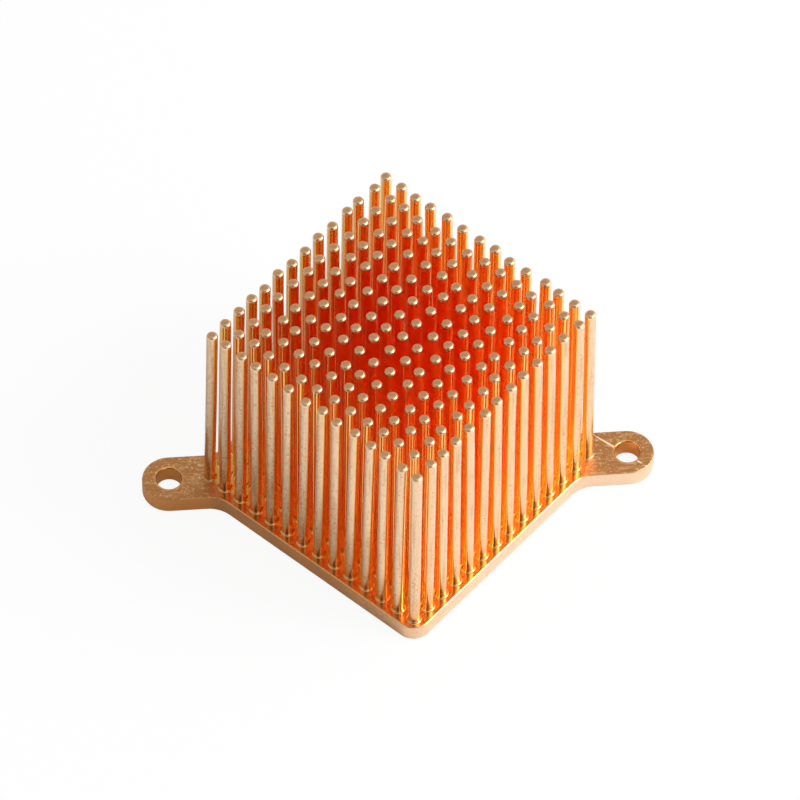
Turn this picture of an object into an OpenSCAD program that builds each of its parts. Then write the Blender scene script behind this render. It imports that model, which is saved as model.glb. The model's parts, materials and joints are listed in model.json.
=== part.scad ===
// Forged copper pin fin heat sink: a square base plate standing corner to corner
// along X, a grid of round pins on its top face and a holed ear on two corners.

/* [Pin field] */
// Number of pins along each side of the base
pin_count = 14; // [2:1:18]
// Distance between the axes of neighbouring pins
pin_pitch = 2.64; // [2.5:0.02:4]
// Diameter of a pin
pin_d = 1.45; // [0.8:0.05:1.6]
// Length of a pin above the base
pin_length = 29.5; // [5:0.5:40]
// Radius of the rounding round a pin's tip
tip_round = 0.36; // [0.1:0.02:0.38]
// Radius of the fillet at a pin's foot
foot_round = 0.3; // [0.1:0.02:0.4]

/* [Lean of the pins] */
// How far the tips of the outermost rows have been pressed inwards
inward_lean = 0.4; // [0:0.05:0.5]
// Largest random drift of a tip along each side of the grid
tip_wander = 0.24; // [0:0.02:0.3]
// Seed of the random drift
wander_seed = 7; // [1:1:99]

/* [Base plate] */
// Thickness of the base plate and its ears
base_thick = 2.5; // [1.5:0.1:8]
// Distance from the outermost pin axes to the edge of the plate
edge_margin = 1.69; // [1.3:0.01:5]
// Radius of the plate's two free corners
corner_r = 2.4; // [0.5:0.1:4]

/* [Ears] */
// Distance from a corner pin's axis to the axis of the ear's hole
ear_reach = 5.232; // [4.6:0.001:12]
// Width of an ear, whose end is a half circle round the hole
ear_width = 6.9; // [6:0.1:9]
// Diameter of the mounting hole
hole_d = 3.3; // [2:0.1:4]
// Width of the chamfer at each end of the mounting hole
hole_chamfer = 0.15; // [0.05:0.01:0.3]
// Radius of the fillets between the ears and the plate's sides
ear_fillet = 4; // [1:0.5:6]

/* [Hidden] */

$fn = 96;
copper = "#c8703f";

// Depth to which each pin's root reaches into the plate, so that the two are one piece.
root_depth = base_thick / 2;
// A foot fillet stops short of lying flat on the plate, by this share of its radius.
fillet_cut = 0.12;
// How quickly the inward lean dies away from the outermost row towards the middle.
lean_fall = 5;

grid_half = (pin_count - 1) * pin_pitch / 2;
base_side = 2 * (grid_half + edge_margin);
corner_reach = base_side / 2 * sqrt(2);
hole_reach = grid_half * sqrt(2) + ear_reach;
ear_half = ear_width / 2;

// Random drifts along the grid's two sides, one pair for each pin.
wander = rands(-tip_wander, tip_wander, 2 * pin_count * pin_count, wander_seed);

// Place of pin row or column i along the grid, from its middle.
function grid_place(i) = i * pin_pitch - grid_half;

// Drift of a tip in row or column i that presses the outer rows inwards.
function inward_drift(i) =
    let (share = grid_place(i) / grid_half)
    -inward_lean * sign(share) * pow(abs(share), lean_fall);

// Drift of the tip of pin (column, row) along the grid's two sides.
function tip_drift(column, row) =
    let (first = 2 * (row * pin_count + column))
    [inward_drift(column) + wander[first], inward_drift(row) + wander[first + 1]];

// Half of a pin's section: root, foot fillet, shank and rounded tip.
module pin_section() {
    r = pin_d / 2;
    foot_r = r + foot_round;
    foot_top = foot_round * (1 - fillet_cut);
    translate([0, -root_depth]) square([r, root_depth + pin_length - tip_round]);
    square([r - tip_round, pin_length]);
    intersection() {
        translate([r - tip_round, pin_length - tip_round]) circle(tip_round);
        translate([0, pin_length - tip_round]) square([r, tip_round]);
    }
    difference() {
        translate([0, -root_depth]) square([foot_r, root_depth + foot_top]);
        translate([foot_r, foot_top]) circle(foot_round);
    }
}

module pin(drift) {
    lean = atan2(norm(drift), pin_length);
    rotate([0, 0, atan2(drift[1], drift[0])])
        rotate([0, lean, 0])
            rotate_extrude() pin_section();
}

module pin_field() {
    translate([0, 0, base_thick])
        rotate([0, 0, 45])
            for (row = [0 : pin_count - 1], column = [0 : pin_count - 1])
                translate([grid_place(column), grid_place(row), 0])
                    pin(tip_drift(column, row));
}

// Square plate seen from above, with its two free corners rounded.
module plate_outline() {
    free_corner = corner_reach - corner_r * sqrt(2);
    difference() {
        rotate(45) square(base_side, center = true);
        for (side = [-1, 1])
            translate([0, side * corner_reach]) square(corner_r * sqrt(2), center = true);
    }
    for (side = [-1, 1]) translate([0, side * free_corner]) circle(corner_r);
}

// One ear and the two fillets that join it to the plate's sides.
module ear_outline() {
    fillet_x = corner_reach - ear_half + ear_fillet * (sqrt(2) - 1);
    fillet_y = ear_half + ear_fillet;
    touch = ear_fillet / sqrt(2);
    square_to(hole_reach, ear_half);
    translate([hole_reach, 0]) circle(ear_half);
    for (side = [-1, 1])
        difference() {
            polygon([
                [corner_reach - fillet_y, side * ear_half],
                [fillet_x, side * ear_half],
                [fillet_x, side * fillet_y],
                [fillet_x - touch, side * (fillet_y - touch)],
            ]);
            translate([fillet_x, side * fillet_y]) circle(ear_fillet);
        }
}

// Strip from the middle of the plate out to x, half_width to each side of the X axis.
module square_to(x, half_width) {
    translate([0, -half_width]) square([x, 2 * half_width]);
}

module mounting_hole() {
    cylinder(h = 3 * base_thick, d = hole_d, center = true);
    for (face = [0, 1])
        translate([0, 0, face * base_thick])
            mirror([0, 0, face])
                cylinder(
                    h = hole_chamfer * 2,
                    r1 = hole_d / 2 + hole_chamfer * 2,
                    r2 = hole_d / 2,
                    center = true
                );
}

module base_plate() {
    difference() {
        linear_extrude(base_thick) {
            plate_outline();
            ear_outline();
            mirror([1, 0]) ear_outline();
        }
        for (side = [-1, 1]) translate([side * hole_reach, 0, 0]) mounting_hole();
    }
}

module heat_sink() {
    color(copper) {
        base_plate();
        pin_field();
    }
}

heat_sink();
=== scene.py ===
import json
import math
import random

import bpy
from mathutils import Matrix, Vector
from mathutils.geometry import delaunay_2d_cdt


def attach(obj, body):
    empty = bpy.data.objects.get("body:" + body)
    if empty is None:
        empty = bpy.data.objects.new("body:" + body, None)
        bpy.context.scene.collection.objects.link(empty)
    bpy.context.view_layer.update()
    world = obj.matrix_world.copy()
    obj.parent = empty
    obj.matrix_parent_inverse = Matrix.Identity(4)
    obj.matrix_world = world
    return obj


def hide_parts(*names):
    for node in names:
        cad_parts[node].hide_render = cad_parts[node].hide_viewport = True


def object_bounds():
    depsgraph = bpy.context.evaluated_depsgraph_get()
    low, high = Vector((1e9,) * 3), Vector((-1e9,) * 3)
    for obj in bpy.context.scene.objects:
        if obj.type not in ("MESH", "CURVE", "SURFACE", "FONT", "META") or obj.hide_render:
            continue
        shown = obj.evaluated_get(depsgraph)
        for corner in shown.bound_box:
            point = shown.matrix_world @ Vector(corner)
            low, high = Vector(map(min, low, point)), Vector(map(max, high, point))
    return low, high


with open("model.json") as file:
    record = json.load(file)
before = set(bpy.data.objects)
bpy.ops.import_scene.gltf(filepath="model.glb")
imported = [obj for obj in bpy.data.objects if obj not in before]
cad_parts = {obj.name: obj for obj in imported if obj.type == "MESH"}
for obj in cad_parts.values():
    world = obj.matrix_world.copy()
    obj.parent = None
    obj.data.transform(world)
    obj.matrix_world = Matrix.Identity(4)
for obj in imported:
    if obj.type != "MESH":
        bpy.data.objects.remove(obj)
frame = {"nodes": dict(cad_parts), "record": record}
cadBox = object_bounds()
print("frame loaded")


# A node socket that takes part in Python arithmetic. Each operation adds a Math node.
class Value:
    def __init__(self, tree, socket):
        self.tree = tree
        self.socket = socket

    def math(self, operation, *others):
        return self.tree.add("ShaderNodeMath", {"operation": operation}, dict(enumerate((self, *others))))

    def __add__(self, other):
        return self.math("ADD", other)

    def __sub__(self, other):
        return self.math("SUBTRACT", other)

    def __mul__(self, other):
        return self.math("MULTIPLY", other)

    def __truediv__(self, other):
        return self.math("DIVIDE", other)

    def __pow__(self, other):
        return self.math("POWER", other)

    def __rsub__(self, other):
        return self.tree.add("ShaderNodeMath", {"operation": "SUBTRACT"}, {0: other, 1: self})

    def __rtruediv__(self, other):
        return self.tree.add("ShaderNodeMath", {"operation": "DIVIDE"}, {0: other, 1: self})

    __radd__ = __add__
    __rmul__ = __mul__

    def abs(self):
        return self.math("ABSOLUTE")

    def min(self, other):
        return self.math("MINIMUM", other)

    def max(self, other):
        return self.math("MAXIMUM", other)

    # 0 below low, 1 above high and a smooth step between. With low above high it falls.
    def step(self, low, high):
        ends = {"To Min": 0, "To Max": 1} if low < high else {"To Min": 1, "To Max": 0}
        return self.tree.add(
            "ShaderNodeMapRange",
            {"interpolation_type": "SMOOTHSTEP"},
            {"Value": self, "From Min": min(low, high), "From Max": max(low, high), **ends},
        )


class Tree:
    def __init__(self, tree):
        self.tree = tree
        tree.nodes.clear()

    # Adds one node: settings are set first, then each input gets a value or a link.
    def add(self, kind, settings=None, inputs=None, output=0):
        node = self.tree.nodes.new(kind)
        for name, value in (settings or {}).items():
            setattr(node, name, value)
        for key, value in (inputs or {}).items():
            if isinstance(value, Value):
                self.tree.links.new(value.socket, node.inputs[key])
            else:
                node.inputs[key].default_value = value
        if not node.outputs:
            return node
        return Value(self, node.outputs[output])

    def mixColor(self, share, first, second):
        return self.add("ShaderNodeMix", {"data_type": "RGBA"}, {0: share, 6: first, 7: second}, 2)

    def scaled(self, vector, factors):
        return self.add("ShaderNodeVectorMath", {"operation": "MULTIPLY"}, {0: vector, 1: factors})

    def parts(self, vector):
        split = self.add("ShaderNodeSeparateXYZ", {}, {0: vector})
        return [Value(self, split.socket.node.outputs[i]) for i in range(3)]

    def noise(self, vector, scale, detail=2, roughness=0.5):
        return self.add(
            "ShaderNodeTexNoise",
            {},
            {"Vector": vector, "Scale": scale, "Detail": detail, "Roughness": roughness},
        )


def newMaterial(name):
    material = bpy.data.materials.new(name)
    material.use_nodes = True
    return material, Tree(material.node_tree)


perMetre = 1000


# The copper piece. Lengths in millimetres.
sink = {
    "pinCount": 14,
    "pinPitch": 2.64,
    "pinRadius": 0.725,
    "pinBow": 0.04,
    "pinSwell": 0.012,
    "swellAt": (0.12, 0.3, 0.5, 0.7, 0.88),
    "tipRound": 0.36,
    "tipDome": 6,
    "tipDip": 0.005,
    "capRadius": 0.46,
    "capFade": 0.16,
    "footRound": 0.3,
    "pinSegments": 24,
    "tipSteps": 5,
    "footSteps": 4,
    "edgeSteps": 3,
    "cellMargin": 1.1,
    "baseThick": 2.5,
    "edgeMargin": 1.69,
    "cornerRadius": 2.4,
    "earHalf": 3.45,
    "earFillet": 4.0,
    "edgeRound": 0.2,
    "holeRound": 0.15,
    "arcSegments": 24,
    "holeSegments": 48,
    "seed": 5,
}
mounts = {m["name"]: m for m in frame["record"]["mounts"]}
sink["holeReach"] = mounts["ear_holes"]["dims"]["spacing_x_mm"] / 2
sink["holeRadius"] = mounts["ear_holes"]["dims"]["hole_r_mm"]
sink["top"] = cadBox[1][2] * perMetre
gridHalf = (sink["pinCount"] - 1) * sink["pinPitch"] / 2
halfSide = gridHalf + sink["edgeMargin"]
diagonal = math.sqrt(2)


# Place in the plate's frame of a point given along the grid's two sides.
def fromGrid(a, b):
    return (a - b) / diagonal, (a + b) / diagonal


def toGrid(x, y):
    return (x + y) / diagonal, (y - x) / diagonal


# Tip centres of the frame's pins, keyed by column and row.
def readTips(mesh):
    found = {}
    pitch = sink["pinPitch"]
    lowest = sink["top"] - 0.1
    for vertex in mesh.vertices:
        x, y, z = vertex.co * perMetre
        if z < lowest:
            continue
        a, b = toGrid(x, y)
        key = (round((a + gridHalf) / pitch), round((b + gridHalf) / pitch))
        found.setdefault(key, []).append(Vector((x, y, z)))
    return {key: sum(points, Vector()) / len(points) for key, points in found.items()}


# Vertices, their normals and the faces of one closed mesh.
class Shell:
    def __init__(self):
        self.points = []
        self.normals = []
        self.faces = []
        self.cap = []
        self.tone = []

    def point(self, position, normal, cap=0.0, tone=0.5):
        self.points.append(Vector(position))
        self.normals.append(Vector(normal).normalized())
        self.cap.append(cap)
        self.tone.append(tone)
        return len(self.points) - 1

    def bridge(self, lower, upper):
        count = len(lower)
        for i in range(count):
            j = (i + 1) % count
            self.faces.append((lower[i], lower[j], upper[j], upper[i]))

    def fan(self, ring, centre, upward=True):
        for i, start in enumerate(ring):
            end = ring[(i + 1) % len(ring)]
            self.faces.append((start, end, centre) if upward else (end, start, centre))


# Outline of the plate with its ears as points and outward normals, drawn in by inset.
def plateOutline(inset):
    s = sink
    reach = halfSide * diagonal
    ear, fillet, corner, n = s["earHalf"], s["earFillet"], s["cornerRadius"], s["arcSegments"]
    filletX = reach - ear + fillet * (diagonal - 1)
    free = reach - corner * diagonal
    out = []

    def arc(x, y, radius, start, end, sign=1):
        for i in range(n + 1):
            angle = math.radians(start + (end - start) * i / n)
            c, d = math.cos(angle), math.sin(angle)
            out.append(((x + radius * c, y + radius * d), (sign * c, sign * d)))

    arc(s["holeReach"], 0, ear - inset, -90, 90)
    arc(filletX, ear + fillet, fillet + inset, 270, 225, -1)
    arc(0, free, corner - inset, 45, 135)
    arc(-filletX, ear + fillet, fillet + inset, 315, 270, -1)
    arc(-s["holeReach"], 0, ear - inset, 90, 270)
    arc(-filletX, -ear - fillet, fillet + inset, 90, 45, -1)
    arc(0, -free, corner - inset, 225, 315)
    arc(filletX, -ear - fillet, fillet + inset, 135, 90, -1)
    return out


def inside(x, y, polygon):
    odd = False
    for i, (x1, y1) in enumerate(polygon):
        x2, y2 = polygon[i - 1]
        if (y1 > y) != (y2 > y) and x < (x2 - x1) * (y - y1) / (y2 - y1) + x1:
            odd = not odd
    return odd


# Flat faces between an outer loop and the inner loops, all lists of vertex numbers.
def fillFlat(shell, outer, inners, upward):
    loops = [outer] + inners
    numbers = [n for loop in loops for n in loop]
    edges = []
    start = 0
    for loop in loops:
        size = len(loop)
        edges += [(start + i, start + (i + 1) % size) for i in range(size)]
        start += size
    flat = [shell.points[n].xy for n in numbers]
    points, _, triangles, origins, _, _ = delaunay_2d_cdt(flat, edges, [], 0, 1e-6, True)
    shapes = [[shell.points[n].xy for n in loop] for loop in loops]
    for triangle in triangles:
        centre = sum((points[i] for i in triangle), Vector((0, 0))) / 3
        if not inside(centre.x, centre.y, shapes[0]):
            continue
        if any(inside(centre.x, centre.y, shape) for shape in shapes[1:]):
            continue
        corners = [numbers[origins[i][0]] for i in triangle]
        a, b, c = (points[i] for i in triangle)
        turnsLeft = (b - a).cross(c - a) > 0
        shell.faces.append(tuple(corners if turnsLeft == upward else reversed(corners)))


# Quarter round from a flat to an upright face: its distance from each face and its tilt in radians.
def quarter(radius, steps):
    rows = []
    for i in range(steps + 1):
        tilt = math.pi / 2 * i / steps
        rows.append((radius * (1 - math.sin(tilt)), radius * (1 - math.cos(tilt)), tilt))
    return rows


def addPlateSide(shell):
    thick = sink["baseThick"]
    turn = quarter(sink["edgeRound"], sink["edgeSteps"])
    rows = [(out, drop, math.sin(tilt), -math.cos(tilt)) for out, drop, tilt in turn]
    rows += [(out, thick - drop, flatness, -upright) for out, drop, flatness, upright in reversed(rows)]
    rings = []
    for inset, z, flatness, upright in rows:
        ring = []
        for (x, y), (nx, ny) in plateOutline(inset):
            ring.append(shell.point((x, y, z), (nx * flatness, ny * flatness, upright)))
        rings.append(ring)
    for low, high in zip(rings, rings[1:]):
        shell.bridge(low, high)
    return rings[0], rings[-1]


def addHole(shell, x):
    thick, radius, n = sink["baseThick"], sink["holeRadius"], sink["holeSegments"]
    turn = quarter(sink["holeRound"], sink["edgeSteps"])
    rows = [(radius + out, drop, math.sin(tilt), -math.cos(tilt)) for out, drop, tilt in turn]
    rows += [(r, thick - z, flatness, -upright) for r, z, flatness, upright in reversed(rows)]
    rings = []
    for r, z, flatness, upright in rows:
        ring = []
        for i in range(n):
            angle = 2 * math.pi * i / n
            c, d = math.cos(angle), math.sin(angle)
            ring.append(shell.point((x + r * c, r * d, z), (-c * flatness, -d * flatness, upright)))
        rings.append(ring)
    for low, high in zip(rings, rings[1:]):
        shell.bridge(high, low)
    return rings[0], rings[-1]


# Place of a cell corner step, where the outermost cells are cut back to a rounded square.
def cellPlace(key, perSide):
    a, b = ((k / perSide - 0.5) * sink["pinPitch"] - gridHalf for k in key)
    over = [max(abs(v) - gridHalf, 0) for v in (a, b)]
    most = sink["cellMargin"]
    cut = most / max(most, math.hypot(*over))
    return fromGrid(*(math.copysign(min(abs(v), gridHalf) + cut * o, v) for v, o in zip((a, b), over)))


# Square cell of plate top round one pin. Its edge vertices are shared with the next cells.
def cellEdge(shell, column, row, shared):
    perSide = sink["pinSegments"] // 4
    ring = []
    for side in range(4):
        for i in range(perSide):
            step = i / perSide
            a, b = [(step, 0), (1, step), (1 - step, 1), (0, 1 - step)][side]
            key = (round((column + a) * perSide), round((row + b) * perSide))
            if key not in shared:
                x, y = cellPlace(key, perSide)
                shared[key] = shell.point((x, y, sink["baseThick"]), (0, 0, 1))
            ring.append(shared[key])
    return ring


# One pin from its cell's edge up: foot fillet, slightly uneven shank, rounded tip. Its ring starts
# at the cell's first corner, which lies at 270 degrees in the plate's frame.
def addPin(shell, edge, foot, tip, dice):
    radius, rounding, n = sink["pinRadius"], sink["tipRound"], sink["pinSegments"]
    startAngle = math.radians(270)
    axis = tip - foot
    length = axis.length
    axis.normalize()
    tone = dice.random()
    bow = Vector((dice.uniform(-1, 1), dice.uniform(-1, 1), 0)) * sink["pinBow"]
    swell = sink["pinSwell"]
    rows = []
    for out, rise, tilt in quarter(sink["footRound"], sink["footSteps"]):
        rows.append((radius + out, rise, math.sin(tilt), math.cos(tilt)))
    for share in sink["swellAt"]:
        rows.append((radius * (1 + dice.uniform(-swell, swell)), share * length, 1, 0))
    domed = math.radians(sink["tipDome"])
    for out, drop, tilt in reversed(quarter(rounding, sink["tipSteps"])):
        turned = domed + tilt * (1 - 2 * domed / math.pi)
        rows.append((radius - out, length - drop, math.sin(turned), math.cos(turned)))
    middle = length - sink["tipDip"]
    rows.append(((radius - rounding) * 0.55, middle, math.sin(domed / 2), math.cos(domed / 2)))
    last = edge
    for index, (r, height, flatness, upright) in enumerate(rows):
        cap = min(max((sink["capRadius"] + sink["capFade"] - r) / sink["capFade"], 0), 1)
        centre = foot + axis * height + bow * math.sin(math.pi * height / length)
        ring = []
        for i in range(n):
            angle = startAngle + 2 * math.pi * i / n
            c, d = math.cos(angle), math.sin(angle)
            place = centre + Vector((c * r, d * r, 0))
            if index:
                place.z -= (axis.x * c + axis.y * d) * r
            else:
                place.z = sink["baseThick"]
            normal = Vector((c * flatness, d * flatness, upright))
            ring.append(shell.point(place, normal, cap, tone))
        shell.bridge(last, ring)
        last = ring
    shell.fan(last, shell.point(foot + axis * middle, axis, 1, tone))


def buildSink():
    shell = Shell()
    dice = random.Random(sink["seed"])
    tips = readTips(frame["nodes"]["heat_sink"].data)
    bottom, top = addPlateSide(shell)
    holes = [addHole(shell, side * sink["holeReach"]) for side in (-1, 1)]
    shared = {}
    count = sink["pinCount"]
    for row in range(count):
        for column in range(count):
            edge = cellEdge(shell, column, row, shared)
            x, y = fromGrid(column * sink["pinPitch"] - gridHalf, row * sink["pinPitch"] - gridHalf)
            foot = Vector((x, y, sink["baseThick"]))
            tip = tips.get((column, row), Vector((x, y, sink["top"])))
            addPin(shell, edge, foot, tip, dice)
    perSide = sink["pinSegments"] // 4
    last = count * perSide
    border = [(i, 0) for i in range(last)] + [(last, i) for i in range(last)]
    border += [(last - i, last) for i in range(last)] + [(0, last - i) for i in range(last)]
    square = [shared[key] for key in border]
    fillFlat(shell, top, [square] + [hole[1] for hole in holes], True)
    fillFlat(shell, bottom, [hole[0] for hole in holes], False)

    mesh = bpy.data.meshes.new("heat_sink_copper")
    mesh.from_pydata([p / perMetre for p in shell.points], [], shell.faces)
    for name, values in (("pinCap", shell.cap), ("pinTone", shell.tone)):
        mesh.attributes.new(name, "FLOAT", "POINT").data.foreach_set("value", values)
    mesh.polygons.foreach_set("use_smooth", [True] * len(mesh.polygons))
    mesh.normals_split_custom_set_from_vertices(shell.normals)
    mesh.update()
    piece = bpy.data.objects.new("heat_sink_copper", mesh)
    bpy.context.scene.collection.objects.link(piece)
    print("pins with a tip in the frame:", len(tips), "faces:", len(shell.faces))
    return piece


# Bare copper: smooth between the pins, with a deep red colour there as painted shade; grained on the
# outside, with a paler colour there as painted highlight; dull and scratched on the ears, with one line
# scribed across the right ear. The sides carry painted shade to the left and painted light to the right,
# the outer pins brown painted shade to the left and the inner pins painted light to the right. Lengths in
# millimetres.
# Each fade runs from its first place, where it starts, to its second, where it is whole. The
# outside, pin, tip, side and hole fades are measured from the outer row, the plate's top, the tips'
# top, the plate's top and the hole's edge.
copper = {
    # The first colour is a deep red, painted shade between the pins; the second is paler, painted highlight on
    # the outer pins.
    "inner": (0.972, 0.575, 0.18, 1),
    "outer": (0.92, 0.655, 0.43, 1),
    # Paler copper: painted light on the inner pins towards the outer rows and the right.
    "innerRim": (0.978, 0.67, 0.23, 1),
    # Deep red copper, painted shade on the plate's top round the pins and low on the outer shanks.
    "margin": (0.9, 0.42, 0.14, 1),
    "hole": (0.88, 0.42, 0.12, 1),
    "tip": (0.97, 0.7, 0.46, 1),
    "cap": (0.82, 0.47, 0.24, 1),
    "plate": (0.6, 0.265, 0.088, 1),
    # Painted shade on the plate's sides to the left, and painted light on them to the right.
    "darkSide": (0.8, 0.36, 0.11, 1),
    "brightSide": (0.88, 0.66, 0.47, 1),
    # Brown oxide colour, also laid on as brown painted shade low down and to the left on the outer pins.
    "tarnish": (0.6, 0.3, 0.13, 1),
    "line": (1.0, 0.86, 0.66, 1),
    "fleck": (1.0, 0.62, 0.32, 1),
    "deep": (0.6, 0.26, 0.09, 1),
    "innerRoughness": 0.105,
    "outerRoughness": 0.17,
    "marginRoughness": 0.19,
    "plateRoughness": 0.12,
    "leanShift": 0.3,
    "outsideFade": (0.05, 0.55),
    "pinFade": (0.05, 0.3),
    "tipFade": (-0.6, -0.4),
    "sideFade": (-0.02, -0.15),
    "holeFade": (0.3, 0.1),
    "earFade": (22.8, 25.2),
    "rimFade": (9, 16.5),
    # The next fades place painted light to the right, painted shade and light on the sides, and painted shade
    # low down and to the left.
    "rightFade": (-3, 7),
    "darkSideFade": (4, -12),
    "brightSideFade": (-3, 6),
    "lowFade": (9, 3),
    "leftFade": (8, -20),
    "brownFade": (20, 3),
    "grainScale": 2.6,
    "patchScale": 0.25,
    "fleckScale": 3.4,
    "streakStretch": (3.2, 3.2, 0.12),
    "scratchStretch": (0.55, 3.6, 1),
    "bumpStrength": 0.25,
    "bumpDepth": 0.00004,
    "lineStart": (25.2, 3.2),
    "lineEnd": (32.2, -2.9),
    "lineWidth": 0.13,
}


def copperMaterial():
    material, t = newMaterial("copper")
    thick, top = sink["baseThick"], sink["top"]
    place = t.add("ShaderNodeTexCoord", {}, {}, 3)
    mm = t.scaled(place, (perMetre, perMetre, perMetre))
    x, y, z = t.parts(mm)
    tone = t.add("ShaderNodeAttribute", {"attribute_name": "pinTone"}, {}, 2)
    cap = t.add("ShaderNodeAttribute", {"attribute_name": "pinCap"}, {}, 2)
    reach = ((x + y).abs()).max((y - x).abs()) / diagonal
    onPin = z.step(*(thick + f for f in copper["pinFade"]))
    onTip = z.step(*(top + f for f in copper["tipFade"]))
    holeAcross = x.abs() - sink["holeReach"]
    holeFade = ((sink["holeRadius"] + f) ** 2 for f in copper["holeFade"])
    inHole = (holeAcross * holeAcross + y * y).step(*holeFade)
    lean = z.step(thick, top) * copper["leanShift"]
    outside = (reach + lean).step(*(gridHalf + f for f in copper["outsideFade"])) * (1 - inHole)
    onEar = (1 - onPin) * x.abs().step(*copper["earFade"]) * (1 - inHole)
    onSide = z.step(*(thick + f for f in copper["sideFade"])) * (1 - inHole)
    onEarTop = onEar * (1 - onSide)
    onMargin = (1 - onPin) * (1 - onEar) * (1 - onSide)
    grain = t.noise(mm, copper["grainScale"], 3, 0.6)
    patches = t.noise(mm, copper["patchScale"], 3)
    streaks = t.noise(t.scaled(mm, copper["streakStretch"]), 1, 2)
    scratches = t.noise(t.scaled(mm, copper["scratchStretch"]), 1, 5, 0.7)
    flecks = t.noise(mm, copper["fleckScale"], 2, 0.7)

    # Painted light: the inner pins turn paler towards the outer rows and towards the right.
    paintedLightShare = reach.step(*copper["rimFade"]) * (0.45 + x.step(*copper["rightFade"]) * 0.55)
    inner = t.mixColor(paintedLightShare, copper["inner"], copper["innerRim"])
    # Painted shade and highlight: deep red between the pins, paler on the outer pins.
    clean = t.mixColor(outside, inner, copper["outer"])
    tip = t.mixColor(cap.step(0.3, 0.8), copper["tip"], copper["cap"])
    ringed = cap.step(0.05, 0.3) * cap.step(0.85, 0.5)
    tip = t.mixColor(ringed * 0.5 + flecks.step(0.5, 0.65) * 0.35, tip, copper["tarnish"])
    clean = t.mixColor(onTip, clean, tip)
    # Painted shade: a deeper red on the plate's top round the pins and low on the outer shanks.
    lowShankShade = onPin * z.step(*copper["lowFade"]) * 0.6
    clean = t.mixColor((onMargin + lowShankShade) * outside, clean, copper["margin"])
    clean = t.mixColor(onEar, clean, copper["plate"])
    clean = t.mixColor(inHole, clean, copper["hole"])
    # Painted shade on the plate's sides to the left and painted light on them to the right.
    clean = t.mixColor(onSide * x.step(*copper["darkSideFade"]), clean, copper["darkSide"])
    clean = t.mixColor(onSide * x.step(*copper["brightSideFade"]), clean, copper["brightSide"])

    # Oxide patches, grain, flecks and streaks on the outer pins, plus brown painted shade that grows low down
    # and to the left.
    wearAndShade = patches.step(0.5, 0.8) * 0.2 + grain.step(0.55, 0.7) * 0.3 + flecks.step(0.58, 0.68) * 0.35
    wearAndShade = wearAndShade + streaks.step(0.48, 0.72) * onPin * 0.45
    shadeAndOxide = z.step(*copper["brownFade"]) * (0.25 + patches.step(0.35, 0.65) * 0.4)
    shadeAndOxide = shadeAndOxide + grain.step(0.45, 0.65) * 0.3
    wearAndShade = wearAndShade + shadeAndOxide * x.step(*copper["leftFade"]) + (tone - 0.5) * 0.1
    wearAndShade = wearAndShade * outside * (1 - onEar) * (1 - onTip) * (1 - onMargin * 0.6)
    color = t.mixColor(wearAndShade.max(0).min(1), clean, copper["tarnish"])

    (x1, y1), (x2, y2) = copper["lineStart"], copper["lineEnd"]
    length = math.hypot(x2 - x1, y2 - y1)
    away = ((x - x1) * ((y2 - y1) / length) - (y - y1) * ((x2 - x1) / length)).abs()
    wander = (patches - 0.5) * 0.3
    line = (away + wander).abs().step(copper["lineWidth"], copper["lineWidth"] * 0.4) * onEar
    line = line * x.step(20, 21) * z.step(thick - 0.3, thick - 0.1)
    color = t.mixColor(line, color, copper["line"])
    marks = scratches.step(0.53, 0.6) * 0.5 + flecks.step(0.56, 0.64) * 0.9
    color = t.mixColor((marks * onEarTop).min(1), color, copper["fleck"])
    color = t.mixColor(scratches.step(0.46, 0.4) * onEarTop * 0.9, color, copper["deep"])

    pinRoughness = copper["outerRoughness"] + streaks * 0.06 + grain.step(0.5, 0.7) * 0.12 + tone * 0.04
    scraped = (copper["plateRoughness"] + scratches * 0.15) * onEar.max(onSide)
    plateRoughness = copper["marginRoughness"] + scraped
    outerRoughness = pinRoughness * onPin + plateRoughness * (1 - onPin)
    innerRoughness = copper["innerRoughness"] + streaks * 0.03
    roughness = outerRoughness * outside + innerRoughness * (1 - outside) + line * 0.3 + onTip * 0.18

    rough = (scratches * 6 + flecks * 4) * onEarTop + flecks * 0.1 * (1 - onPin) + grain * 0.15
    height = rough * (0.08 + 0.92 * outside) + streaks * 0.2 * onPin * (0.3 + 0.7 * outside)
    bump = t.add(
        "ShaderNodeBump",
        {},
        {"Strength": copper["bumpStrength"], "Distance": copper["bumpDepth"], "Height": height},
    )
    shader = t.add(
        "ShaderNodeBsdfPrincipled",
        {},
        {"Base Color": color, "Metallic": 1.0, "Roughness": roughness, "Normal": bump},
    )
    t.add("ShaderNodeOutputMaterial", {}, {"Surface": shader})
    return material


piece = buildSink()
piece.data.materials.append(copperMaterial())
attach(piece, "root")
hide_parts("heat_sink")
print("heat sink built")


# Studio: pale floor, a large soft key from the right and a dome that is dark behind the camera.
studio = {
    "floorSize": 6.0,
    "floorColor": (0.82, 0.82, 0.82, 1),
    "mottleColor": (0.78, 0.78, 0.78, 1),
    "mottleScale": 40,
    "mottleShare": 0.04,
    "keyPlace": (0.42, -0.1, 0.34),
    "keySize": 0.3,
    "keyPower": 2.65,
    "domeLeft": 0.58,
    "domeRight": 1.2,
    "domeBack": 0.4,
    "domeHorizon": 0.6,
    "backSpread": (0.6, 0.9),
    "backRise": (0.5, 0.66),
    "backFall": (0.97, 0.9),
    "darkTurn": 15,
    "darkShare": 0.9,
    "darkSpread": (0.8, 0.94),
    "darkFall": (0.93, 0.86),
    "horizonRise": (0.1, 0.5),
    "leastLight": 0.02,
    "whiteForCamera": 0.92,
    "whiteForMetal": 0.05,
}


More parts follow.
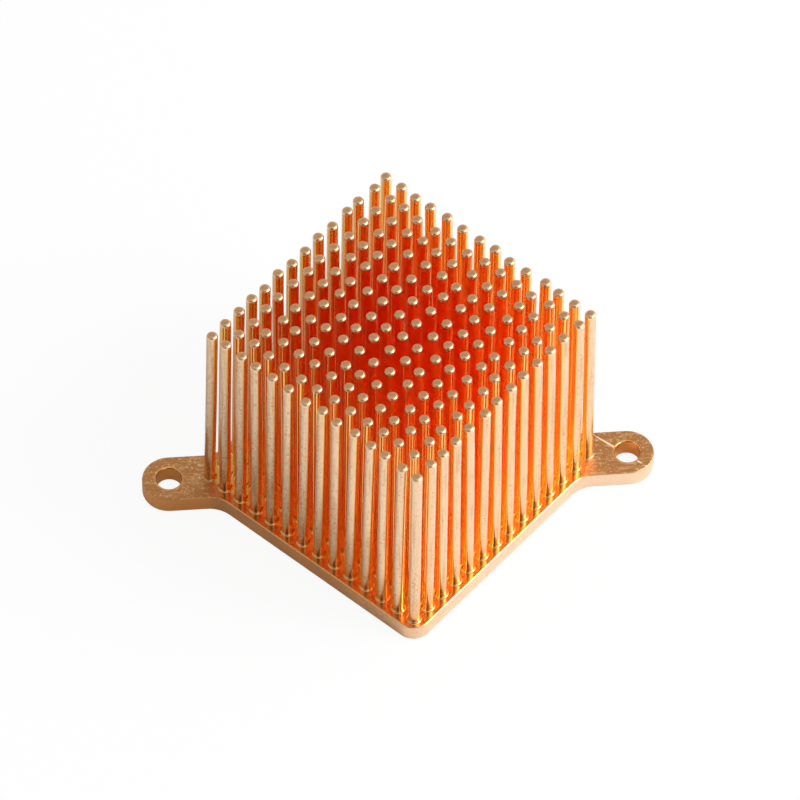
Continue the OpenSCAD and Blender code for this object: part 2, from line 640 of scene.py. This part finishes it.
def addFloor():
    size = studio["floorSize"] / 2
    mesh = bpy.data.meshes.new("floor")
    corners = [(-size, -size, 0), (size, -size, 0), (size, size, 0), (-size, size, 0)]
    mesh.from_pydata(corners, [], [(0, 1, 2, 3)])
    floor = bpy.data.objects.new("floor", mesh)
    bpy.context.scene.collection.objects.link(floor)
    material, t = newMaterial("floor")
    path = t.add("ShaderNodeLightPath")
    isCamera = Value(t, path.socket.node.outputs["Is Camera Ray"])
    isGlossy = Value(t, path.socket.node.outputs["Is Glossy Ray"])
    place = t.add("ShaderNodeTexCoord", {}, {}, 3)
    mottle = t.noise(place, studio["mottleScale"], 3).step(0.3, 0.7)
    color = t.mixColor(mottle * studio["mottleShare"], studio["floorColor"], studio["mottleColor"])
    matte = t.add("ShaderNodeBsdfDiffuse", {}, {"Color": color})
    white = t.add("ShaderNodeEmission", {}, {"Color": (1, 1, 1, 1), "Strength": 1.0})
    share = isCamera * studio["whiteForCamera"] + isGlossy * studio["whiteForMetal"]
    mix = t.add("ShaderNodeMixShader", {}, {0: share, 1: matte, 2: white})
    t.add("ShaderNodeOutputMaterial", {}, {"Surface": mix})
    mesh.materials.append(material)


def addDome():
    world = bpy.data.worlds.new("dome")
    bpy.context.scene.world = world
    world.use_nodes = True
    t = Tree(world.node_tree)
    x, y, z = t.parts(t.add("ShaderNodeTexCoord"))
    flat = (x * x + y * y + 0.0001) ** 0.5
    east, north = x / flat, y / flat
    low, high = studio["domeLeft"], studio["domeRight"]
    ring = (low + high) / 2 + (high - low) / 2 * east
    back = north.step(*studio["backSpread"]) * z.step(*studio["backRise"]) * z.step(*studio["backFall"])
    ring = ring * (1 - back) + back * studio["domeBack"]
    turn = math.radians(studio["darkTurn"])
    behindCamera = north * -math.cos(turn) - east * math.sin(turn)
    dark = behindCamera.step(*studio["darkSpread"]) * z.step(*studio["darkFall"])
    horizon = studio["domeHorizon"]
    light = ring * (1 - dark * studio["darkShare"]) * (horizon + (1 - horizon) * z.step(*studio["horizonRise"]))
    strength = light + studio["leastLight"]
    background = t.add("ShaderNodeBackground", {}, {"Color": (1, 1, 1, 1), "Strength": strength})
    t.add("ShaderNodeOutputWorld", {}, {"Surface": background})


def addKey():
    lamp = bpy.data.lights.new("key", "AREA")
    lamp.shape = "SQUARE"
    lamp.size = studio["keySize"]
    lamp.energy = studio["keyPower"]
    key = bpy.data.objects.new("key", lamp)
    key.location = studio["keyPlace"]
    key.rotation_euler = (-Vector(studio["keyPlace"])).to_track_quat("-Z", "Y").to_euler()
    bpy.context.scene.collection.objects.link(key)


# Camera: far away with a long lens, looking down over the front corner.
view = {
    "azimuth": -5.53,
    "elevation": 52.67,
    "roll": 1.10,
    "distance": 0.8712,
    "right": 0.00018,
    "up": 0.008339,
    "lens": 305.7,
    "sensor": 36,
    "nearest": 0.01,
    "farthest": 20,
}


def addCamera():
    azimuth, elevation, roll = (math.radians(view[k]) for k in ("azimuth", "elevation", "roll"))
    level = Vector((math.cos(azimuth), math.sin(azimuth), 0))
    ahead = Vector((math.sin(azimuth), -math.cos(azimuth), 0))
    back = ahead * math.cos(elevation) + Vector((0, 0, math.sin(elevation)))
    steep = back.cross(level)
    right = math.cos(roll) * level + math.sin(roll) * steep
    up = -math.sin(roll) * level + math.cos(roll) * steep
    place = view["distance"] * back + view["right"] * right + view["up"] * up
    place.z += sink["baseThick"] / perMetre
    data = bpy.data.cameras.new("camera")
    data.lens = view["lens"]
    data.sensor_width = view["sensor"]
    data.clip_start = view["nearest"]
    data.clip_end = view["farthest"]
    camera = bpy.data.objects.new("camera", data)
    camera.matrix_world = Matrix.Translation(place) @ Matrix((right, up, back)).transposed().to_4x4()
    bpy.context.scene.collection.objects.link(camera)
    bpy.context.scene.camera = camera


addFloor()
addDome()
addKey()
addCamera()
scene = bpy.context.scene
scene.view_settings.view_transform = "Standard"
scene.cycles.max_bounces = 24
scene.cycles.glossy_bounces = 20
scene.cycles.diffuse_bounces = 6
print("studio set")
